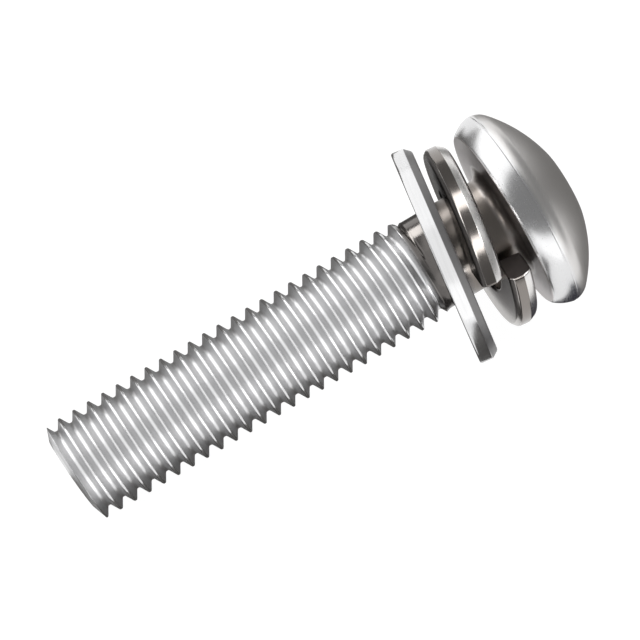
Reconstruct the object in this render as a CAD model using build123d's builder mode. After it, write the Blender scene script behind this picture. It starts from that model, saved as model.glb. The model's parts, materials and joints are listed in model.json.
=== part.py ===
from build123d import *
import os
from math import asin, atan2, cos, degrees, pi, radians, sin, sqrt, tan

# M10 x 45 button head screw with a hexagon socket. A split spring washer and a plain washer are
# captive on the neck, because the rolled thread is larger than the plain washer's hole.
#
# Millimetres, +Z up. The screw lies as it comes to rest, on the plain washer's rim and on the
# thread near its tip. Its axis lies in the XZ plane and rises towards the head, which is at +X.
# The origin is at the height of the surface it lies on, midway along the part.
#
# Along the screw's own axis, places are measured from the bearing face under the head: positive
# into the head, negative down the neck and the thread. A side is an angle round that axis, in
# degrees from the top of the lying screw towards -Y.

# ---- thread: M10 coarse, right hand ----
thread_diameter = 9.85          # over the crests
thread_pitch = 1.5
thread_depth = 0.92
crest_width = 0.19              # flat left on each crest
flank_angle = 30.0              # each flank, from square to the axis
lowest_crest = 1.3              # from the tip to the first crest that meets the floor
runout_start = 8.9              # from the bearing face, where the groove begins to fade
runout_length = 0.9             # along the axis
runout_climb = 0.85             # away from the axis
groove_side = 190.0             # where the groove begins, clear of the tip
groove_lead = 2                 # whole turns it starts ahead of the lowest crest

# ---- shank ----
shank_length = 45.3             # bearing face to tip, within the tolerance of a 45 mm screw
neck_diameter = 8.95            # the rolling blank
neck_length = 8.0
neck_taper = 1.6                # from the neck up to the first full crest
neck_fillet = 1.0               # under the head
tip_diameter = 8.2
tip_chamfer = 0.45              # along the axis

# ---- head ----
head_diameter = 19.2
head_height = 6.8
bearing_diameter = 17.3
rim_height = 1.9                # from the bearing face to the edge at the largest diameter
rim_belly_height = 0.75         # a point on the curve between them
rim_belly_diameter = 18.4
crown_radius = 13.3

# ---- hexagon socket ----
socket_width = 6.0              # across flats
socket_depth = 4.2
socket_mouth_diameter = 7.3     # of the countersink
socket_mouth_angle = 30.0       # its slope, from square to the axis
socket_point = 0.9              # depth of the conical bottom

# ---- split spring washer ----
spring_bore = 10.3
spring_diameter = 18.0
spring_thickness = 2.2
spring_rise = 2.5               # one cut end stands this far above the other
spring_gap = 0.35               # between the cut ends, along the rim
spring_edge = 0.2               # broken edges of the bore
spring_nose = 0.4               # bevel of the outer edge on the tip side, both ways
spring_bevel_height = 0.7       # outer edge on the head side
spring_bevel_width = 0.45
spring_place = -2.75            # its middle
spring_shift = 0.1              # off the screw's axis, towards the slack side
spring_lean = 6.4               # degrees from square to the axis
spring_lean_side = 110.0        # the side its upper face leans to
spring_split_angle = 50.0       # the side where the split is

# ---- plain washer ----
washer_bore = 9.7
washer_diameter = 20.6
washer_thickness = 1.9
washer_bevel_height = 0.7       # outer edge on the head side
washer_bevel_width = 0.55
washer_place = -6.1             # its middle
washer_shift = 0.08             # off the screw's axis, towards the slack side
washer_lean = 9.45              # degrees from square to the axis
washer_lean_side = 69.4         # the side its upper face leans to

slack_side = 110.0              # the side both loose washers hang to

overshoot = 0.1                 # cutting shapes stand this far clear of what they cut
rise_steps = 12                 # corrections that settle the angle it lies at


# ---- how the screw lies ----
def washer_slope(rise):
    """Upward component of the plain washer's axis when the screw's axis rises by this angle."""
    across = sin(radians(washer_lean)) * cos(radians(washer_lean_side))
    return cos(radians(washer_lean)) * sin(rise) + across * cos(rise)


def washer_reach(rise):
    """How far the plain washer's rim reaches below the screw's axis at the washer's place."""
    slope = washer_slope(rise)
    drop = -washer_shift * cos(radians(slack_side)) * cos(rise)
    return drop + washer_diameter / 2 * sqrt(1 - slope**2) + washer_thickness / 2 * slope


crest_radius = thread_diameter / 2
support_span = shank_length - lowest_crest + washer_place
rise = 0.0
for step in range(rise_steps):
    rise = asin((washer_reach(rise) - crest_radius * cos(rise)) / support_span)

along = Vector(cos(rise), 0, sin(rise))
upward = Vector(-sin(rise), 0, cos(rise))
aside = Vector(0, -1, 0)

crown_centre = head_height - crown_radius
reach_ahead = crown_centre * cos(rise) + crown_radius
reach_behind = shank_length * cos(rise) + tip_diameter / 2 * sin(rise)
seat_height = washer_reach(rise) - washer_place * sin(rise)
seat = Vector((reach_behind - reach_ahead) / 2, 0, seat_height)
screw_axis = Axis(seat, along)


def towards(side):
    """Unit direction square to the screw's axis."""
    return upward * cos(radians(side)) + aside * sin(radians(side))


def leaning_plane(place, shift, lean, lean_side, start_side):
    """Plane across a washer, with its x direction on the given side."""
    normal = along * cos(radians(lean)) + towards(lean_side) * sin(radians(lean))
    start = towards(start_side)
    middle = seat + along * place + towards(slack_side) * shift
    return Plane(origin=middle, x_dir=start - normal * start.dot(normal), z_dir=normal)


def section_plane(base):
    """Plane through a part's axis: x is the distance from that axis and y runs along it."""
    return Plane(origin=base.origin, x_dir=base.x_dir, z_dir=-base.y_dir)


screw_plane = Plane(origin=seat, x_dir=-upward, z_dir=along)
spring_plane = leaning_plane(
    spring_place, spring_shift, spring_lean, spring_lean_side, spring_split_angle
)
washer_plane = leaning_plane(
    washer_place, washer_shift, washer_lean, washer_lean_side, washer_lean_side
)

# ---- screw: one solid, from the crown to the tip ----
head_radius = head_diameter / 2
neck_radius = neck_diameter / 2
tip_radius = tip_diameter / 2
bearing_radius = bearing_diameter / 2
crown_drop = rim_height - crown_centre
shoulder_radius = (crown_radius**2 - head_radius**2 - crown_drop**2) / (2 * (crown_radius - head_radius))
shoulder_centre = head_radius - shoulder_radius
shoulder_angle = degrees(atan2(crown_drop, shoulder_centre))

socket_radius = socket_mouth_diameter / 2
mouth_height = crown_centre + sqrt(crown_radius**2 - socket_radius**2)
mouth_depth = socket_radius * tan(radians(socket_mouth_angle))
socket_floor = head_height - socket_depth

root_radius = crest_radius - thread_depth
crest_half = (thread_pitch - crest_width) / 2
root_half = crest_half - thread_depth * tan(radians(flank_angle))
outer_half = crest_half + overshoot * tan(radians(flank_angle))
groove_start = lowest_crest - shank_length + thread_pitch * (groove_side / 360 - groove_lead)
groove_length = -runout_start - groove_start
groove_base = Plane(origin=seat + along * groove_start, x_dir=towards(groove_side), z_dir=along)
fade_side = groove_side + 360 * groove_length / thread_pitch
fade_base = Plane(origin=seat - along * runout_start, x_dir=towards(fade_side), z_dir=along)
fade_angle = degrees(atan2(runout_climb, runout_length))

groove_corners = [
    (root_radius, -root_half),
    (root_radius, root_half),
    (crest_radius + overshoot, outer_half),
    (crest_radius + overshoot, -outer_half),
]

groove_path = groove_base * Helix(thread_pitch, groove_length, root_radius, mode=Mode.PRIVATE)
fade_path = fade_base * Helix(
    thread_pitch, runout_length, root_radius, cone_angle=fade_angle, mode=Mode.PRIVATE
)

with BuildPart() as screw:
    with BuildSketch(section_plane(screw_plane)):
        with BuildLine():
            Polyline(
                (0, head_height),
                (0, -shank_length),
                (tip_radius, -shank_length),
                (crest_radius, tip_chamfer - shank_length),
                (crest_radius, -neck_length - neck_taper),
                (neck_radius, -neck_length),
                (neck_radius, -neck_fillet),
            )
            RadiusArc((neck_radius, -neck_fillet), (neck_radius + neck_fillet, 0), neck_fillet)
            Line((neck_radius + neck_fillet, 0), (bearing_radius, 0))
            ThreePointArc(
                (bearing_radius, 0), (rim_belly_diameter / 2, rim_belly_height), (head_radius, rim_height)
            )
            CenterArc((shoulder_centre, rim_height), shoulder_radius, 0, shoulder_angle)
            CenterArc((0, crown_centre), crown_radius, shoulder_angle, 90 - shoulder_angle)
        make_face()
    revolve(axis=screw_axis)

    with BuildSketch(screw_plane.offset(head_height)):
        RegularPolygon(socket_width / 2, 6, major_radius=False, rotation=30)
    extrude(amount=-socket_depth, mode=Mode.SUBTRACT)
    with BuildSketch(section_plane(screw_plane)):
        Polygon(
            (0, mouth_height - mouth_depth),
            (socket_radius, mouth_height),
            (socket_radius, head_height + overshoot),
            (0, head_height + overshoot),
            align=None,
        )
    revolve(axis=screw_axis, mode=Mode.SUBTRACT)
    with BuildSketch(section_plane(screw_plane)):
        Polygon(
            (0, socket_floor - socket_point),
            (socket_width / 2, socket_floor),
            (0, socket_floor),
            align=None,
        )
    revolve(axis=screw_axis, mode=Mode.SUBTRACT)

    with BuildSketch(section_plane(groove_base)):
        Polygon(*groove_corners, align=None)
    sweep(path=groove_path, is_frenet=True, mode=Mode.SUBTRACT)
    with BuildSketch(section_plane(fade_base)):
        Polygon(*groove_corners, align=None)
    sweep(path=fade_path, is_frenet=True, mode=Mode.SUBTRACT)

screw.part.label = "screw"

# ---- split spring washer: one left-hand turn of wire ----
spring_inner = spring_bore / 2
spring_outer = spring_diameter / 2
spring_middle = (spring_inner + spring_outer) / 2
spring_half = spring_thickness / 2
spring_turn = 1 - spring_gap / (pi * spring_diameter)
spring_base = spring_plane.offset(-spring_rise * spring_turn / 2)

spring_path = spring_base * Helix(
    spring_rise, spring_rise * spring_turn, spring_middle, lefthand=True, mode=Mode.PRIVATE
)

with BuildPart() as spring_washer:
    with BuildSketch(section_plane(spring_base)):
        Polygon(
            (spring_inner + spring_edge, -spring_half),
            (spring_outer - spring_nose, -spring_half),
            (spring_outer, spring_nose - spring_half),
            (spring_outer, spring_half - spring_bevel_height),
            (spring_outer - spring_bevel_width, spring_half),
            (spring_inner + spring_edge, spring_half),
            (spring_inner, spring_half - spring_edge),
            (spring_inner, spring_edge - spring_half),
            align=None,
        )
    sweep(path=spring_path, is_frenet=True)

spring_washer.part.label = "spring_washer"

# ---- plain washer ----
washer_radius = washer_diameter / 2
washer_half = washer_thickness / 2

with BuildPart() as plain_washer:
    with BuildSketch(section_plane(washer_plane)):
        Polygon(
            (washer_bore / 2, -washer_half),
            (washer_radius, -washer_half),
            (washer_radius, washer_half - washer_bevel_height),
            (washer_radius - washer_bevel_width, washer_half),
            (washer_bore / 2, washer_half),
            align=None,
        )
    revolve(axis=Axis(washer_plane.origin, washer_plane.z_dir))

plain_washer.part.label = "plain_washer"

# ---- export ----
os.makedirs("parts", exist_ok=True)
for piece in (screw, spring_washer, plain_washer):
    export_step(piece.part, f"parts/{piece.part.label}.step")
    print(piece.part.label, "volume", round(piece.part.volume, 2), "solids", len(piece.part.solids()))
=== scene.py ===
import json
import math

import bmesh
import bpy
import numpy as np
from mathutils import Matrix, Vector


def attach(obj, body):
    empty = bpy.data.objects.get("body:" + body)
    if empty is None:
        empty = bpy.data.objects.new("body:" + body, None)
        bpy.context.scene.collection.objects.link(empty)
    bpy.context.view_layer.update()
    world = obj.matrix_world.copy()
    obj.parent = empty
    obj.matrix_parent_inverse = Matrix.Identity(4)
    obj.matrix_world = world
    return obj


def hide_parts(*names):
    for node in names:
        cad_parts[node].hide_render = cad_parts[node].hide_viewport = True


# Looks of an M10 x 45 button head screw with a captive spring washer and plain washer.
# Lengths are named in millimetres and turned into metres by MM. As in the CAD, places along the
# screw are measured from the bearing face, positive into the head, and a side is an angle round
# the screw's axis in degrees from the top of the lying screw towards -Y.

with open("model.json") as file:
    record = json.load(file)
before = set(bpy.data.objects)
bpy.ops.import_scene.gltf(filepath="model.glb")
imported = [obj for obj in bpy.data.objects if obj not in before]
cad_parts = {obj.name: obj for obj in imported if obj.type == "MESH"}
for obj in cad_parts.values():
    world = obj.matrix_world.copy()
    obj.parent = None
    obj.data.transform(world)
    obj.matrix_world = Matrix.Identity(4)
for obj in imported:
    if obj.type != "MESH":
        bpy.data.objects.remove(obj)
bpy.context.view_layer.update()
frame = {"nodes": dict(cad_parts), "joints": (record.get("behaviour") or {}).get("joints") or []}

MM = 0.001
joints = {joint["name"]: joint for joint in frame["joints"]}

# ---- thread ----
crest_radius = 9.85 / 2 * MM
thread_depth = 0.86 * MM
thread_pitch = 1.5 * MM
flank_slope = 1 / math.tan(math.radians(30))    # depth gained for each unit along the axis
crest_half = 0.095 * MM                         # half of the flat on a crest
crest_side = 180.0
crest_place = -44.0 * MM                        # a crest on that side
root_blend = 0.05 * MM                          # softness of the rolled root
crest_blend = 0.05 * MM
crest_return = 0.6                              # share of the height lost in blending that is given back
crest_return_reach = 3 * crest_blend            # down from the crest
runout_start = -8.9 * MM
runout_length = 1.3 * MM
# Rows of the mesh from the middle of a crest to just short of a root, as shares of the pitch.
profile_shares = (0, 0.03, 0.06, 0.09, 0.12, 0.18, 0.24, 0.30, 0.35, 0.39, 0.43, 0.465)

# ---- shank ----
tip_place = -45.3 * MM
tip_radius = 7.2 / 2 * MM
tip_chamfer = 0.48 * MM
tip_slant = 0.5 * MM                            # the sheared end is shorter on one side
tip_slant_side = 109.0
tip_hollow = 0.25 * MM                          # the rolled end is slightly cupped
# The cup from its edge to the middle: share of the radius, share of the hollow's depth.
tip_cup = (
    (1, 0),
    (0.97, 0.004),
    (0.93, 0.03),
    (0.8, 0.25),
    (0.62, 0.75),
    (0.5, 0.95),
    (0.3, 1),
    (0.12, 1),
    (0, 1),
)
neck_radius = 8.95 / 2 * MM
taper_start = -9.6 * MM
neck_start = -8.0 * MM
lamp_split = -9.3 * MM                          # where the lamps of the shank and the neck part
fillet_radius = 1.0 * MM

# ---- head ----
head_radius = 19.2 / 2 * MM
head_height = 6.8 * MM
bearing_radius = 17.3 / 2 * MM
bearing_edge = 0.12 * MM
bearing_edge_turns = (-90, -25)                 # its arc, from the bearing face to the rim
rim_height = 1.9 * MM
belly_height = 0.75 * MM
belly_radius = 18.4 / 2 * MM
crown_radius = 13.3 * MM
crease_place = 2.02 * MM                        # fine line where the rim was trimmed
crease_half = 0.07 * MM
crease_depth = 0.05 * MM
crease_reach = 1.5 * crease_half                # the outline keeps all its points this near the crease
coarser = 5                                     # and one in five on the rest of the shoulder
beside_fillet = 1.05                            # share of the fillet's radius to the row just outside it
beside_edge = 0.5                               # share of the outer edge's radius to the row inside it
rim_clear = 0.9                                 # share of the outer edge's height where the rim begins

# ---- hexagon socket ----
socket_half = 3.0 * MM                          # half across flats
socket_depth = 4.2 * MM
socket_point = 0.9 * MM
socket_edge = 0.06 * MM                         # softness of the edge under the mouth
socket_edge_step = socket_edge / 4              # how far that edge steps inwards
half_flat_turn = 30                             # degrees, from the middle of a flat to a corner
point_share = 0.9                               # of the flats' width, across the drilled point
# Rows of the socket: shares of the way down its mouth, the edge under it and the wall, then shares
# of the way out from the axis on its floor and in the drilled point.
mouth_shares = (0.15, 0.85)
socket_edge_shares = (0, 0.3, 0.7, 1)
socket_wall_shares = (0.25, 0.5, 0.75, 0.97, 1)
socket_floor_shares = (0.985, point_share)
socket_point_shares = (0.85, 0.6, 0.3, 0.05, 0)
mouth_radius = 7.3 / 2 * MM
mouth_slope = math.tan(math.radians(30))
mouth_edge_turns = (1.2, 0.5)                   # the crown's last rows, in degrees before the mouth

# ---- spring washer ----
spring_place = -2.75 * MM
spring_shift = 0.1 * MM
slack_side = 110.0
spring_lean = 6.4
spring_lean_side = 110.0
split_side = 50.0
spring_inner = 10.3 / 2 * MM
spring_outer = 18.0 / 2 * MM
spring_half = 1.1 * MM
spring_rise = 2.5 * MM
spring_gap = 0.35 * MM
spring_nose = 0.4 * MM
spring_bevel_height = 0.9 * MM
spring_bevel_width = 0.5 * MM
spring_edge = 0.25 * MM                         # rounding of most edges
spring_nose_edge = 0.5 * MM                     # rounding beside the bevel on the tip side
spring_shoulder = 0.7 * MM                      # rounding beside the bevel on the head side
# Rows that round a cut end off: share of the turn from the end, size of the section there.
spring_end_rows = ((0, 0.94), (0.0008, 0.978), (0.0022, 1.0))
cut_end_map = -0.5                              # the value of the map on the cut ends
cut_end_rings = (1, 0.9, 0.5, 0)                # sizes of the rings that close a cut end

# ---- plain washer ----
washer_inner = 9.7 / 2 * MM
washer_outer = 20.6 / 2 * MM
washer_half = 0.95 * MM
washer_bevel_height = 0.7 * MM
washer_bevel_width = 0.55 * MM
washer_bore_edge = 0.15 * MM                    # roundings of its edges
washer_rim_edge = 0.2 * MM
washer_bevel_edge = 0.4 * MM

# ---- meshes' fineness ----
screw_columns = 120                             # round the screw
washer_columns = 256                            # round the plain washer
spring_rows = 220                               # from one cut end of the spring washer to the other
washer_steps = 5                                # on each rounding of a washer
fillet_steps = 8
rim_steps = 20
bearing_edge_steps = 5
shoulder_steps = 160
crown_steps = 40
neck_rows = 8
row_step = 0.05                                 # on the map, from row to row of the neck and the head
tip_row_step = 0.1

# ---- where the screw lies ----
spring_joint = joints["spring_washer_spin"]
washer_joint = joints["plain_washer_spin"]
along = Vector(spring_joint["axis"]).normalized()
aside = Vector((0, -1, 0))
upward = aside.cross(along).normalized()
seat = Vector(spring_joint["pos_m"]) - along * spring_place


def towards(side):
    """Unit direction square to the screw's axis."""
    angle = math.radians(side)
    return upward * math.cos(angle) + aside * math.sin(angle)


# ---- outlines ----
def arc(centre, radius, start, end, steps):
    """Points (along, radius) of an arc, with its angle measured from the outward direction."""
    angles = np.radians(np.linspace(start, end, steps + 1))
    return [(centre[0] + radius * math.sin(a), centre[1] + radius * math.cos(a)) for a in angles]


def arc_through(first, middle, last, steps):
    """Points of the arc through three points (along, radius)."""
    (ax, ay), (bx, by), (cx, cy) = first, middle, last
    turn = 2 * (ax * (by - cy) + bx * (cy - ay) + cx * (ay - by))
    a2, b2, c2 = ax * ax + ay * ay, bx * bx + by * by, cx * cx + cy * cy
    x = (a2 * (by - cy) + b2 * (cy - ay) + c2 * (ay - by)) / turn
    y = (a2 * (cx - bx) + b2 * (ax - cx) + c2 * (bx - ax)) / turn
    start = math.degrees(math.atan2(ax - x, ay - y))
    end = math.degrees(math.atan2(cx - x, cy - y))
    return arc((x, y), math.hypot(ax - x, ay - y), start, end, steps)


def rounded(corners, steps):
    """A closed outline whose corners (x, y, radius) are rounded, with a point close to each round."""
    closeness = 0.4                             # of that point, as a share of the radius
    points = []
    count = len(corners)
    for i, (x, y, radius) in enumerate(corners):
        here = Vector((x, y))
        back = (Vector(corners[i - 1][:2]) - here).normalized()
        ahead = (Vector(corners[(i + 1) % count][:2]) - here).normalized()
        half = back.angle(ahead) / 2
        reach = radius / math.tan(half)
        centre = here + (back + ahead).normalized() * (radius / math.sin(half))
        first, last = here + back * reach, here + ahead * reach
        points.append(tuple(first + back * radius * closeness))
        spoke, end = first - centre, last - centre
        turn = spoke.angle_signed(end)
        for k in range(steps + 1):
            angle = -turn * k / steps
            c, s = math.cos(angle), math.sin(angle)
            points.append((centre.x + spoke.x * c - spoke.y * s, centre.y + spoke.x * s + spoke.y * c))
        points.append(tuple(last + ahead * radius * closeness))
    return points


# ---- meshes ----
class Shell:
    """Collects grids of points and joins them into one smooth mesh."""

    same_point = 0.0005 * MM
    same_edge = 0.0002 * MM
    sharp_edge = 40.0                           # degrees

    def __init__(self):
        self.points = []
        self.faces = []
        self.maps = []

    def grid(self, points, maps, close_rows=False, close_columns=False, shift=0):
        """points is rows x columns x 3. A closed column seam may climb by shift rows.

        maps gives each row and column its place on the map that the materials read.
        """
        rows, columns = points.shape[:2]
        base = len(self.points)
        self.points.extend(points.reshape(-1, 3).tolist())

        def index(i, j):
            if j == columns:
                i, j = i + shift, 0
            return base + (i % rows if close_rows else i) * columns + j

        last_column = columns if close_columns else columns - 1
        for i in range(rows if close_rows else rows - 1):
            for j in range(last_column):
                if j == columns - 1 and i + 1 + shift >= rows and not close_rows:
                    continue
                cell = ((i, j), (i, j + 1), (i + 1, j + 1), (i + 1, j))
                self.faces.append(tuple(index(a, b) for a, b in cell))
                self.maps.append([maps(a, b) for a, b in cell])

    def piece(self, name, middle, axis):
        """The mesh. Its attribute "where" holds each point's height along an axis and distance from it."""
        mesh = bpy.data.meshes.new(name)
        mesh.from_pydata(self.points, [], self.faces)
        layer = mesh.uv_layers.new(name="around")
        layer.data.foreach_set("uv", np.array(self.maps, dtype=np.float32).reshape(-1))
        work = bmesh.new()
        work.from_mesh(mesh)
        bmesh.ops.remove_doubles(work, verts=work.verts, dist=self.same_point)
        bmesh.ops.dissolve_degenerate(work, edges=work.edges, dist=self.same_edge)
        bmesh.ops.recalc_face_normals(work, faces=work.faces)
        work.to_mesh(mesh)
        work.free()
        spots = np.empty(len(mesh.vertices) * 3, dtype=np.float32)
        mesh.vertices.foreach_get("co", spots)
        spots = spots.reshape(-1, 3) - np.array(middle)
        height = spots @ np.array(axis)
        distance = np.linalg.norm(spots - height[:, None] * np.array(axis), axis=1)
        where = mesh.attributes.new("where", "FLOAT_VECTOR", "POINT")
        values = np.stack([height / MM, distance / MM, np.zeros(len(height))], axis=1)
        where.data.foreach_set("vector", values.astype(np.float32).reshape(-1))
        mesh.shade_smooth()
        mesh.set_sharp_from_angle(angle=math.radians(self.sharp_edge))
        made = bpy.data.objects.new(name, mesh)
        bpy.context.scene.collection.objects.link(made)
        return made


# ---- screw ----
sides = np.arange(screw_columns) * 360.0 / screw_columns
directions = np.array([towards(side) for side in sides])
crest_zero = crest_place - crest_side / 360 * thread_pitch


def rings(places, radii):
    """Rows of points round the screw, each row with one number for all sides or one for each."""
    places = np.reshape(places, (len(places), -1))
    radii = np.reshape(radii, (len(radii), -1))
    return np.array(seat) + places[..., None] * np.array(along) + radii[..., None] * directions


def wrap(step):
    """Map of a grid round the screw, which climbs by a step from row to row."""
    return lambda i, j: (j / screw_columns, i * step)


def slanted(share):
    """Places of the slanted end, at a share of the radius from the axis."""
    return tip_place + tip_slant * (1 + share * np.cos(np.radians(sides - tip_slant_side))) / 2


def groove_radius(place, root):
    """Radius of the rolled groove, which has its root at the given radius."""
    phase = (place - crest_zero) / thread_pitch - sides / 360
    offset = np.abs(phase - np.round(phase)) * thread_pitch
    flank = crest_radius - (offset - crest_half) * flank_slope
    return root + root_blend * np.logaddexp(0, (flank - root) / root_blend)


def add_thread(shell, start, end):
    """The thread and its run-out between two places. Each row climbs one pitch a turn."""
    half = np.array(profile_shares)
    shares = np.concatenate([half, 1 - half[:0:-1]])
    per_turn = len(shares)
    first_turn = math.floor((np.min(start) - crest_zero) / thread_pitch) - 1
    last_turn = math.ceil((end - crest_zero) / thread_pitch) + 1
    turns = np.arange(first_turn, last_turn)
    rows = (turns[:, None] + shares[None, :]).reshape(-1)
    place = crest_zero + (rows[:, None] + sides[None, :] / 360) * thread_pitch
    place = np.clip(place, start, end)

    fade = np.clip((place - runout_start) / runout_length, 0, 1)
    groove = groove_radius(place, crest_radius - thread_depth * (1 - fade))
    cut = crest_radius - crest_blend * np.logaddexp(0, (crest_radius - groove) / crest_blend)
    near = np.exp(-(((crest_radius - cut) / crest_return_reach) ** 2))
    cut = cut + crest_blend * math.log(2) * near * crest_return
    chamfer = tip_radius + (place - slanted(1)) / tip_chamfer * (crest_radius - tip_radius)
    taper = np.clip((place - taper_start) / (neck_start - taper_start), 0, 1)
    taper = taper * taper * (3 - 2 * taper)
    outer = crest_radius + taper * (neck_radius - crest_radius)
    radius = np.minimum(np.minimum(cut, chamfer), np.minimum(outer, crest_radius))
    radius[place >= neck_start] = neck_radius
    shell.grid(rings(place, radius), wrap(1 / per_turn), close_columns=True, shift=per_turn)


def add_tip(shell):
    """Cupped end, met by the thread's first row."""
    ring = np.minimum(groove_radius(slanted(1), crest_radius - thread_depth), tip_radius)
    shares, depths = np.array(tip_cup, dtype=float).T
    places = slanted(shares[:, None]) + (depths * tip_hollow)[:, None]
    shell.grid(rings(places, shares[:, None] * ring), wrap(tip_row_step), close_columns=True)


def make_shank():
    shell = Shell()
    add_thread(shell, slanted(1), lamp_split)
    add_tip(shell)
    return shell.piece("shank_dressed", seat, along)


def make_neck():
    """End of the run-out, neck and fillet."""
    shell = Shell()
    add_thread(shell, lamp_split, neck_start)
    outline = [(place, neck_radius) for place in np.linspace(neck_start, -fillet_radius, neck_rows)]
    centre = (-fillet_radius, neck_radius + fillet_radius)
    outline += arc(centre, fillet_radius, 180, 90, fillet_steps)[1:]
    outline = np.array(outline)
    shell.grid(rings(outline[:, 0], outline[:, 1]), wrap(row_step), close_columns=True)
    return shell.piece("neck_dressed", seat, along)


def head_outline():
    """Points (along, radius) from the fillet over the bearing face, rim and crown to the socket."""
    crown_centre = head_height - crown_radius
    drop = rim_height - crown_centre
    shoulder = (crown_radius**2 - head_radius**2 - drop**2) / (2 * (crown_radius - head_radius))
    shoulder_turn = math.degrees(math.atan2(drop, head_radius - shoulder))
    mouth_turn = 90 - math.degrees(math.asin(mouth_radius / crown_radius))
    crown_end, mouth_start = (mouth_turn - before for before in mouth_edge_turns)

    flat_edge = bearing_radius - bearing_edge
    flat_radii = (
        neck_radius + fillet_radius,
        neck_radius + fillet_radius * beside_fillet,
        (flat_edge + neck_radius) / 2 + fillet_radius / 2,
        flat_edge - bearing_edge * beside_edge,
    )
    outline = [(0, radius) for radius in flat_radii]
    outline += arc((bearing_edge, flat_edge), bearing_edge, *bearing_edge_turns, bearing_edge_steps)
    rim = arc_through(
        (0, bearing_radius), (belly_height, belly_radius), (rim_height, head_radius), rim_steps
    )
    outline += [point for point in rim if point[0] > bearing_edge * rim_clear]
    shoulder_centre = (rim_height, head_radius - shoulder)
    outline += arc(shoulder_centre, shoulder, 0, shoulder_turn, shoulder_steps)[1:]
    outline += arc((crown_centre, 0), crown_radius, shoulder_turn, crown_end, crown_steps)[1:]
    outline += arc((crown_centre, 0), crown_radius, mouth_start, mouth_turn, 1)
    outline = np.array(outline)

    on_curve = outline[:, 1] > bearing_radius
    away = np.abs(outline[:, 0] - crease_place)
    coarse = on_curve & (away > crease_reach) & (outline[:, 0] >= rim_height)
    outline = outline[~coarse | (np.arange(len(outline)) % coarser == 0)]
    away = (outline[:, 0] - crease_place) / crease_half
    outline[:, 1] -= crease_depth * np.exp(-(away**2)) * (outline[:, 1] > bearing_radius)
    return outline


def socket_rows(mouth_place):
    """Rows (place, radius) down the countersunk mouth, the six flats and the drilled point."""
    flat_turn = (sides + half_flat_turn) % (2 * half_flat_turn) - half_flat_turn
    hexagon = socket_half / np.cos(np.radians(flat_turn))
    edge = mouth_place - (mouth_radius - hexagon) * mouth_slope
    wall_top = edge - socket_edge
    wall = hexagon - socket_edge_step
    floor = head_height - socket_depth
    rows = [(mouth_place, mouth_radius)]
    for share in mouth_shares:
        place = mouth_place + (edge - mouth_place) * share
        rows.append((place, mouth_radius + (hexagon - mouth_radius) * share))
    for share in socket_edge_shares:
        rows.append((edge - socket_edge * share, hexagon - socket_edge_step * share))
    for share in socket_wall_shares:
        rows.append((wall_top + (floor - wall_top) * share, wall))
    for share in socket_floor_shares:
        rows.append((floor, np.minimum(wall, socket_half + (wall - socket_half) * share) * share))
    for share in socket_point_shares:
        rows.append((floor - socket_point * (1 - share / point_share), socket_half * share))
    return rows


def make_head():
    shell = Shell()
    outline = head_outline()
    shell.grid(rings(outline[:, 0], outline[:, 1]), wrap(row_step), close_columns=True)
    rows = socket_rows(outline[-1, 0])
    places = np.array([np.full(screw_columns, place) for place, radius in rows])
    radii = np.array([np.full(screw_columns, radius) for place, radius in rows])
    shell.grid(rings(places, radii), wrap(row_step), close_columns=True)
    return shell.piece("head_dressed", seat, along)


# ---- spring washer ----
def make_spring_washer():
    """Left-hand turn of wire, swept from one cut end to the other and closed at both."""
    lean = math.radians(spring_lean)
    normal = along * math.cos(lean) + towards(spring_lean_side) * math.sin(lean)
    middle = seat + along * spring_place + towards(slack_side) * spring_shift
    start = towards(split_side)
    start = (start - normal * start.dot(normal)).normalized()
    other = normal.cross(start)
    whole_turn = 1 - spring_gap / (2 * math.pi * spring_outer)
    base = middle - normal * (spring_rise * whole_turn / 2)
    corners = [
        (spring_inner, -spring_half, spring_edge),
        (spring_outer - spring_nose, -spring_half, spring_nose_edge),
        (spring_outer, spring_nose - spring_half, spring_edge),
        (spring_outer, spring_half - spring_bevel_height, spring_edge),
        (spring_outer - spring_bevel_width, spring_half, spring_shoulder),
        (spring_inner, spring_half, spring_edge),
    ]
    section = np.array(rounded(corners, washer_steps))
    centre = section.mean(axis=0)
    end_shares, end_sizes = np.array(spring_end_rows, dtype=float).T
    between = np.linspace(0, 1, spring_rows)[1:-1]
    shares = np.concatenate([end_shares, between, 1 - end_shares[::-1]])
    sizes = np.concatenate([end_sizes, np.ones(len(between)), end_sizes[::-1]])
    grid = []
    for share, size in zip(shares, sizes):
        angle = -2 * math.pi * whole_turn * share
        out = np.array(start) * math.cos(angle) + np.array(other) * math.sin(angle)
        points = centre + (section - centre) * size
        lift = points[:, 1] + spring_rise * whole_turn * share
        grid.append(np.array(base) + points[:, :1] * out + lift[:, None] * np.array(normal))
    grid = np.array(grid)
    rows, columns = grid.shape[:2]
    shell = Shell()
    shell.grid(grid, lambda i, j: (i / rows, j / columns), close_columns=True)
    for end in (grid[0], grid[-1]):
        core = end.mean(axis=0)
        cap = np.array([core + (end - core) * size for size in cut_end_rings])
        shell.grid(cap, lambda i, j: (cut_end_map, j / columns), close_columns=True)
    return shell.piece("spring_washer_dressed", middle, normal)


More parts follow.
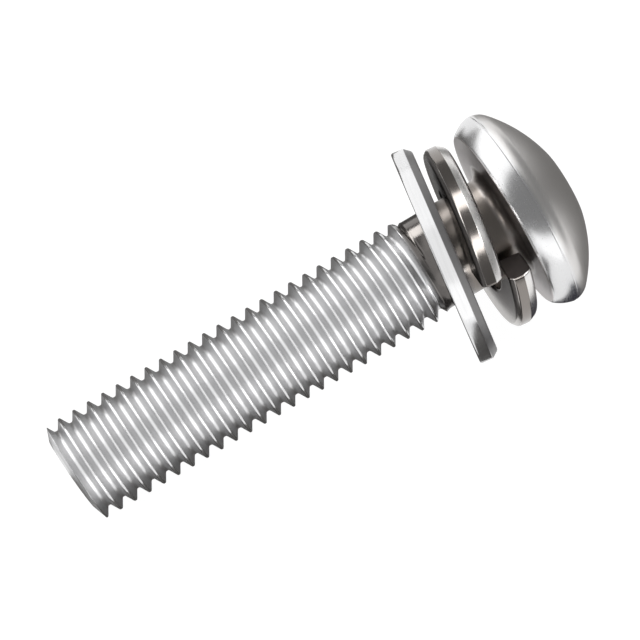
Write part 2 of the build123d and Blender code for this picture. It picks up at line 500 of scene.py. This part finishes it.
# ---- plain washer ----
def make_plain_washer():
    """Section turned about the washer's own leaning axis."""
    middle = Vector(washer_joint["pos_m"])
    normal = Vector(washer_joint["axis"]).normalized()
    start = towards(0)
    start = (start - normal * start.dot(normal)).normalized()
    other = normal.cross(start)
    corners = [
        (washer_inner, -washer_half, washer_bore_edge),
        (washer_outer, -washer_half, washer_rim_edge),
        (washer_outer, washer_half - washer_bevel_height, washer_rim_edge),
        (washer_outer - washer_bevel_width, washer_half, washer_bevel_edge),
        (washer_inner, washer_half, washer_bore_edge),
    ]
    section = rounded(corners, washer_steps)
    angles = np.linspace(0, 2 * math.pi, washer_columns, endpoint=False)
    out = np.outer(np.cos(angles), start) + np.outer(np.sin(angles), other)
    rows = [np.array(middle) + np.array(normal) * lift + out * radius for radius, lift in section]
    grid = np.array(rows)
    row_count = len(rows)
    shell = Shell()
    shell.grid(
        grid, lambda i, j: (j / washer_columns, i / row_count), close_rows=True, close_columns=True
    )
    return shell.piece("plain_washer_dressed", middle, normal)


# ---- materials ----
def maths(tree, operation, *values):
    """A calculation with numbers and outputs of nodes."""
    made = tree.nodes.new("ShaderNodeMath")
    made.operation = operation
    for value, target in zip(values, made.inputs):
        if isinstance(value, (int, float)):
            target.default_value = value
        else:
            tree.links.new(value, target)
    return made.outputs["Value"]


class Finish:
    """Node tree of one steel, coated in layers. Streaks run round the piece, and its grain is even.

    turn and row place a point on the map of the mesh. height and distance are in millimetres, along
    the piece's axis and away from it.
    """

    # Numbers of a mixing node's inputs for the share, under and over, and of its output.
    mix_sockets = {"FLOAT": (0, 2, 3, 0), "RGBA": (0, 6, 7, 2)}
    noise_gain = 2.5                            # brings both noises together to about -1 to 1
    relief_height = 0.02 * MM

    def __init__(self, name, streaks, grain, dull, bright, roughness):
        """streaks is how fine they are round the piece and across it, and grain how fine the grain is."""
        self.material = bpy.data.materials.new(name)
        self.material.use_nodes = True
        self.tree = self.material.node_tree
        self.shader = self.tree.nodes["Principled BSDF"]
        self.shader.inputs["Metallic"].default_value = 1.0
        around = self.tree.nodes.new("ShaderNodeUVMap")
        around.uv_map = "around"
        self.turn, self.row = self.split(around.outputs["UV"])
        where = self.tree.nodes.new("ShaderNodeAttribute")
        where.attribute_name = "where"
        self.height, self.distance = self.split(where.outputs["Vector"])
        stretch = self.tree.nodes.new("ShaderNodeMapping")
        stretch.inputs["Scale"].default_value = (*streaks, 1)
        self.link(around.outputs["UV"], stretch.inputs["Vector"])
        self.streaks = self.noise(stretch.outputs["Vector"], Scale=1.0, Detail=6.0, Roughness=0.6)
        place = self.tree.nodes.new("ShaderNodeTexCoord")
        self.grain = self.noise(place.outputs["Object"], Scale=grain, Detail=3.0, Roughness=0.5)
        self.colour = self.streaked(dull, bright)
        self.roughness = roughness

    def link(self, source, target):
        self.tree.links.new(source, target)

    def split(self, vector):
        made = self.tree.nodes.new("ShaderNodeSeparateXYZ")
        self.link(vector, made.inputs["Vector"])
        return made.outputs["X"], made.outputs["Y"]

    def noise(self, vector, **settings):
        made = self.tree.nodes.new("ShaderNodeTexNoise")
        for name, value in settings.items():
            made.inputs[name].default_value = value
        self.link(vector, made.inputs["Vector"])
        return made.outputs["Fac"]

    def ramp(self, value, limits, low=0.0, high=1.0):
        """low before the first limit, high after the second and smooth between them."""
        made = self.tree.nodes.new("ShaderNodeMapRange")
        made.interpolation_type = "SMOOTHSTEP"
        numbers = (*limits, low, high)
        for name, number in zip(("From Min", "From Max", "To Min", "To Max"), numbers):
            made.inputs[name].default_value = number
        self.link(value, made.inputs["Value"])
        return made.outputs["Result"]

    def fall(self, value, limits):
        return self.ramp(value, limits, 1.0, 0.0)

    def both(self, first, second):
        return maths(self.tree, "MULTIPLY", first, second)

    def band(self, value, limits, soft):
        """One between the limits, with soft edges outside them."""
        start, end = limits
        return self.both(self.ramp(value, (start - soft, start)), self.fall(value, (end, end + soft)))

    def mix(self, kind, under, over, share):
        """Numbers or colours that change from under to over where share is one."""
        made = self.tree.nodes.new("ShaderNodeMix")
        made.data_type = kind
        factor, first, second, output = self.mix_sockets[kind]
        self.link(share, made.inputs[factor])
        for value, target in ((under, made.inputs[first]), (over, made.inputs[second])):
            if isinstance(value, tuple):
                target.default_value = (*value, 1)
            elif isinstance(value, float):
                target.default_value = value
            else:
                self.link(value, target)
        return made.outputs[output]

    def streaked(self, dull, bright):
        return self.mix("RGBA", dull, bright, self.streaks)

    def coat(self, share, colour=None, roughness=None):
        """A layer with its own colour, roughness or both, which shows where share is one."""
        if colour is not None:
            self.colour = self.mix("RGBA", self.colour, colour, share)
        if roughness is not None:
            self.roughness = self.mix("FLOAT", self.roughness, roughness, share)

    def done(self, spread, bump):
        """The material. spread is how much its roughness varies, bump how strong its relief is."""
        texture = maths(self.tree, "ADD", self.streaks, self.grain)
        centred = maths(self.tree, "SUBTRACT", texture, 1.0)
        varied = maths(self.tree, "MULTIPLY", centred, spread * self.noise_gain)
        self.link(maths(self.tree, "ADD", self.roughness, varied), self.shader.inputs["Roughness"])
        self.link(self.colour, self.shader.inputs["Base Color"])
        relief = self.tree.nodes.new("ShaderNodeBump")
        relief.inputs["Strength"].default_value = bump
        relief.inputs["Distance"].default_value = self.relief_height
        self.link(texture, relief.inputs["Height"])
        self.link(relief.outputs["Normal"], self.shader.inputs["Normal"])
        return self.material


# Where the screw's finish changes, in millimetres: limits of a height or of a distance from the
# axis, and how soft the edges outside them are.
crown_height = (1.95, 2.5)
thread_height = (-9.6, -8.6)
flank_distance = (4.16, 4.82)
flank_soft = 0.05
crest_distance = (4.84, 4.88)
# The next six limits place the painted shade on the neck and in the fillet.
neck_distance = (5.3, 5.7)
neck_painted_shade_height = (-8.7, 0.03)
upper_neck_height = (-5.2, 0.03)
neck_soft = 0.6
fillet_height = (-0.6, 0.03)
fillet_soft = 0.5
# The next three limits place the painted shade on the bearing face.
bearing_height = (-0.3, 0.06)
bearing_soft = 0.03
bearing_distance = (5.4, 5.8)
socket_height = (2.0, 2.2)
socket_distance = (3.45, 3.6)

# Where the spring washer's finish changes, on the map of its mesh.
# The nose band is painted light: a lighter colour that stands in for reflected light.
nose_painted_light_row = (0.24, 0.38)
nose_painted_light_soft = 0.03
worn_row = (0.60, 0.76)
worn_soft = 0.04
# The cut ends are painted near black, a painted shade.
cut_end_turn = (-0.3, -0.2)

# Where the plain washer's finish changes: limits of a height in millimetres, above which painted shade
# darkens the bevel.
bevel_height = (0.22, 0.30)


def screw_finish():
    finish = Finish(
        "screw_steel",
        streaks=(3, 14),
        grain=2500,
        dull=(0.68, 0.68, 0.685),
        bright=(0.74, 0.74, 0.745),
        roughness=0.26,
    )

    # The forged head is satin above the crease, and its trimmed rim is smoother.
    crown = finish.ramp(finish.height, crown_height)
    satin = finish.streaked((0.69, 0.674, 0.66), (0.75, 0.734, 0.72))
    finish.coat(crown, colour=satin, roughness=0.39)

    # Rolled thread: burnished roots and crests, matt flanks.
    thread = finish.fall(finish.height, thread_height)
    flank = finish.both(finish.band(finish.distance, flank_distance, flank_soft), thread)
    crest = finish.both(finish.ramp(finish.distance, crest_distance), thread)
    finish.coat(thread, roughness=0.30)
    finish.coat(flank, colour=(0.59, 0.59, 0.595), roughness=0.40)
    finish.coat(crest, roughness=0.17)

    # Painted shade on the neck in the recess under the head: darkest beside the thread and palest in the
    # fillet.
    inside = finish.fall(finish.distance, neck_distance)
    neck_painted_shade = finish.both(finish.band(finish.height, neck_painted_shade_height, neck_soft), inside)
    upper_neck = finish.both(finish.band(finish.height, upper_neck_height, neck_soft), inside)
    fillet = finish.both(finish.band(finish.height, fillet_height, fillet_soft), inside)
    finish.coat(neck_painted_shade, colour=(0.17, 0.159, 0.151), roughness=0.18)
    finish.coat(upper_neck, colour=(0.25, 0.225, 0.205), roughness=0.35)
    finish.coat(fillet, colour=(0.50, 0.47, 0.45))

    # Painted shade darkens the bearing face under the head. The socket is darker inside.
    outside = finish.ramp(finish.distance, bearing_distance)
    bearing = finish.both(finish.band(finish.height, bearing_height, bearing_soft), outside)
    bore = finish.fall(finish.distance, socket_distance)
    socket = finish.both(finish.ramp(finish.height, socket_height), bore)
    finish.coat(bearing, colour=(0.50, 0.47, 0.465), roughness=0.35)
    finish.coat(socket, colour=(0.45, 0.45, 0.455))
    return finish.done(spread=0.03, bump=0.02)


def spring_finish():
    finish = Finish(
        "spring_steel",
        streaks=(10, 30),
        grain=2200,
        dull=(0.23, 0.21, 0.195),
        bright=(0.275, 0.252, 0.235),
        roughness=0.18,
    )
    # Painted light: the nose is coloured lighter in place of reflected light.
    nose_painted_light = finish.band(finish.row, nose_painted_light_row, nose_painted_light_soft)
    worn = finish.band(finish.row, worn_row, worn_soft)
    # Painted shade: the cut ends are coloured near black.
    cut_end_painted_shade = finish.fall(finish.turn, cut_end_turn)
    finish.coat(nose_painted_light, colour=(0.42, 0.40, 0.385))
    finish.coat(worn, colour=(0.80, 0.785, 0.77), roughness=0.28)
    finish.coat(cut_end_painted_shade, colour=(0.10, 0.088, 0.084), roughness=0.5)
    return finish.done(spread=0.02, bump=0.015)


def washer_finish():
    finish = Finish(
        "washer_steel",
        streaks=(8, 60),
        grain=2400,
        dull=(0.64, 0.64, 0.645),
        bright=(0.84, 0.84, 0.845),
        roughness=0.2,
    )
    # Painted shade: the bevel is coloured darker than the rest of the washer.
    finish.coat(finish.ramp(finish.height, bevel_height), colour=(0.26, 0.255, 0.255), roughness=0.45)
    return finish.done(spread=0.06, bump=0.10)


def dress(piece, material, node_name):
    """Puts a piece in the place of its CAD node, with the same material on both."""
    piece.data.materials.clear()
    piece.data.materials.append(material)
    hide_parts(node_name)
    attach(piece, node_name)
    cad_node = frame["nodes"][node_name]
    cad_node.data.materials.clear()
    cad_node.data.materials.append(material)
    return piece


screw_steel = screw_finish()
shank, neck, head = (
    dress(piece, screw_steel, "screw")
    for piece in (make_shank(), make_neck(), make_head())
)
plain_washer = dress(make_plain_washer(), washer_finish(), "plain_washer")
spring_washer = dress(make_spring_washer(), spring_finish(), "spring_washer")


# ---- camera ----
camera_azimuth = math.radians(29.71)            # it looks along +Y, turned this far towards +X
camera_elevation = math.radians(67.82)
camera_distance = 242.15 * MM
view_width = 320 / 2700                         # half the view's width for each unit of distance
nearest_seen = 10 * MM
aim = Vector((0.38, 0.21, 9.70)) * MM
looking = Vector(
    (
        math.cos(camera_elevation) * math.sin(camera_azimuth),
        math.cos(camera_elevation) * math.cos(camera_azimuth),
        -math.sin(camera_elevation),
    )
)
camera = bpy.data.objects.new("camera", bpy.data.cameras.new("camera"))
camera.data.type = "PERSP"
camera.data.angle = 2 * math.atan(view_width)
camera.data.clip_start = nearest_seen
camera.location = aim - looking * camera_distance
camera.rotation_euler = looking.to_track_quat("-Z", "Y").to_euler()
bpy.context.scene.collection.objects.link(camera)
bpy.context.scene.camera = camera


# ---- floor and cards ----
floor_glow = 1.16
floor_glow_share = 0.8                          # the rest of the floor takes shadows
floor_paint = (0.9, 0.9, 0.9, 1)
card_height = 0.2 * MM
card_roughness = 0.9
card_gloss = 0.1
flag_place = (0, -13 * MM, 0.5 * MM)
# Outlines seen from above. The upright flag is drawn flat as well, and then turned up.
floor_outline = [(-3000, -3000), (3000, -3000), (3000, 3000), (-3000, 3000)]
under_card_outlines = [
    [(-29, -15), (14.6, -15), (14.6, -10), (12, -10), (12, 30), (7, 45), (7, 300), (-90, 300), (-29, 50)],
    [(12, 3), (18, 3), (18, 30), (12, 30)],
    [(-34, -4), (-29, -4), (-29, 1), (-34, 1)],
    [(28, -20), (50, -18), (58, -13), (300, -12), (2900, -40), (2900, 300), (270, 75), (110, 45), (28, 40)],
]
head_card_outline = [(20, -24), (28, -24), (28, 0), (20, 0)]
flag_outline = [(10.2, 0), (14.5, 0), (14.5, 14.2), (10.2, 14.2)]


def flat(name, outlines, height, material):
    """Flat level shapes, each an outline of (x, y) in millimetres."""
    points, faces = [], []
    for outline in outlines:
        faces.append(tuple(range(len(points), len(points) + len(outline))))
        points.extend((x * MM, y * MM, height) for x, y in outline)
    mesh = bpy.data.meshes.new(name)
    mesh.from_pydata(points, [], faces)
    mesh.materials.append(material)
    made = bpy.data.objects.new(name, mesh)
    bpy.context.scene.collection.objects.link(made)
    return made


def floor_material():
    """Pale floor: mostly its own white for the camera and reflections, so shadows stay faint."""
    made = bpy.data.materials.new("pale_floor")
    made.use_nodes = True
    tree = made.node_tree
    tree.nodes.clear()
    path = tree.nodes.new("ShaderNodeLightPath")
    seen = maths(tree, "MAXIMUM", path.outputs["Is Camera Ray"], path.outputs["Is Glossy Ray"])
    seen = maths(tree, "MAXIMUM", seen, path.outputs["Is Transmission Ray"])
    paint = tree.nodes.new("ShaderNodeBsdfDiffuse")
    paint.inputs["Color"].default_value = floor_paint
    white = tree.nodes.new("ShaderNodeEmission")
    white.inputs["Color"].default_value = (1, 1, 1, 1)
    white.inputs["Strength"].default_value = floor_glow
    mix = tree.nodes.new("ShaderNodeMixShader")
    out = tree.nodes.new("ShaderNodeOutputMaterial")
    sources = (
        maths(tree, "MULTIPLY", seen, floor_glow_share),
        paint.outputs["BSDF"],
        white.outputs["Emission"],
    )
    for source, target in zip(sources, mix.inputs):
        tree.links.new(source, target)
    tree.links.new(mix.outputs["Shader"], out.inputs["Surface"])
    return made


def card_material(name, colour):
    made = bpy.data.materials.new(name)
    made.use_nodes = True
    shader = made.node_tree.nodes["Principled BSDF"]
    shader.inputs["Base Color"].default_value = (*colour, 1)
    shader.inputs["Roughness"].default_value = card_roughness
    shader.inputs["Specular IOR Level"].default_value = card_gloss
    return made


floor = flat("floor", [floor_outline], 0, floor_material())

# Two dark cards on the floor and one upright, which only show in the steel, as flags do in a studio.
dark_card = card_material("dark_card", (0.17, 0.165, 0.16))
blue_card = card_material("blue_card", (0.05, 0.05, 0.064))
under_card = flat("under_card", under_card_outlines, card_height, dark_card)
head_card = flat("head_card", [head_card_outline], card_height, blue_card)
flag = flat("washer_flag", [flag_outline], 0, dark_card)
flag.rotation_euler = (math.radians(90), 0, 0)
flag.location = flag_place
for card in (under_card, head_card, flag):
    card.visible_camera = False
    card.visible_diffuse = False
    card.visible_shadow = False
    card.visible_transmission = False


# ---- lamps ----
facing_side = 19.0                              # the side of the screw that faces the camera
lamp_distance = 450 * MM
world_strength = 0.24


def soft_box(name, turns, reach, radiance, pieces):
    """A lamp beside the screw that lights these pieces only, as cards and snoots do in a studio.

    turns are its limits in degrees round the facing side, reach its limits in millimetres along
    the screw.
    """
    first, last = turns
    start, end = reach
    away = towards(facing_side + (first + last) / 2)
    lamp = bpy.data.lights.new(name, "AREA")
    lamp.shape = "RECTANGLE"
    lamp.size = (end - start) * MM
    lamp.size_y = 2 * lamp_distance * math.tan(math.radians(last - first) / 2)
    lamp.energy = radiance * math.pi * lamp.size * lamp.size_y
    made = bpy.data.objects.new(name, lamp)
    across = away.cross(along)
    middle = seat + along * ((start + end) / 2 * MM) + away * lamp_distance
    made.matrix_world = Matrix.Translation(middle) @ Matrix((along, across, away)).transposed().to_4x4()
    bpy.context.scene.collection.objects.link(made)
    lit = bpy.data.collections.new(name + "_lights")
    for piece in pieces:
        lit.objects.link(piece)
    made.light_linking.receiver_collection = lit


long_reach = (-720, 680)
ground = (floor, under_card, head_card, flag)
lamps = (
    ("upper_softbox", (-101, -30), long_reach, 1.5, (shank, *ground)),
    ("lower_softbox", (29, 71), long_reach, 1.7, (shank, *ground)),
    ("front_softbox", (-30, 29), long_reach, 0.85, (shank,)),
    ("upper_washer_softbox", (-109, -30), long_reach, 1.0, (plain_washer,)),
    ("front_washer_softbox", (-30, 29), long_reach, 0.8, (plain_washer,)),
    ("lower_washer_softbox", (29, 71), long_reach, 1.1, (plain_washer,)),
    ("upper_head_softbox", (-109, -42), (-1400, 400), 1.3, (head,)),
    ("lower_head_softbox", (40, 71), (-720, 400), 1.3, (head,)),
    ("upper_neck_strip", (-100, -72), long_reach, 5.0, (neck,)),
    ("lower_neck_strip", (55, 71), long_reach, 5.0, (neck,)),
    ("upper_strip", (-55, -34), long_reach, 5.0, (spring_washer,)),
    ("lower_strip", (1, 19), long_reach, 5.0, (spring_washer,)),
)
for lamp_settings in lamps:
    soft_box(*lamp_settings)

world = bpy.data.worlds.new("studio")
world.use_nodes = True
world.node_tree.nodes["Background"].inputs["Color"].default_value = (1, 1, 1, 1)
world.node_tree.nodes["Background"].inputs["Strength"].default_value = world_strength
bpy.context.scene.world = world
bpy.context.scene.view_settings.view_transform = "Standard"
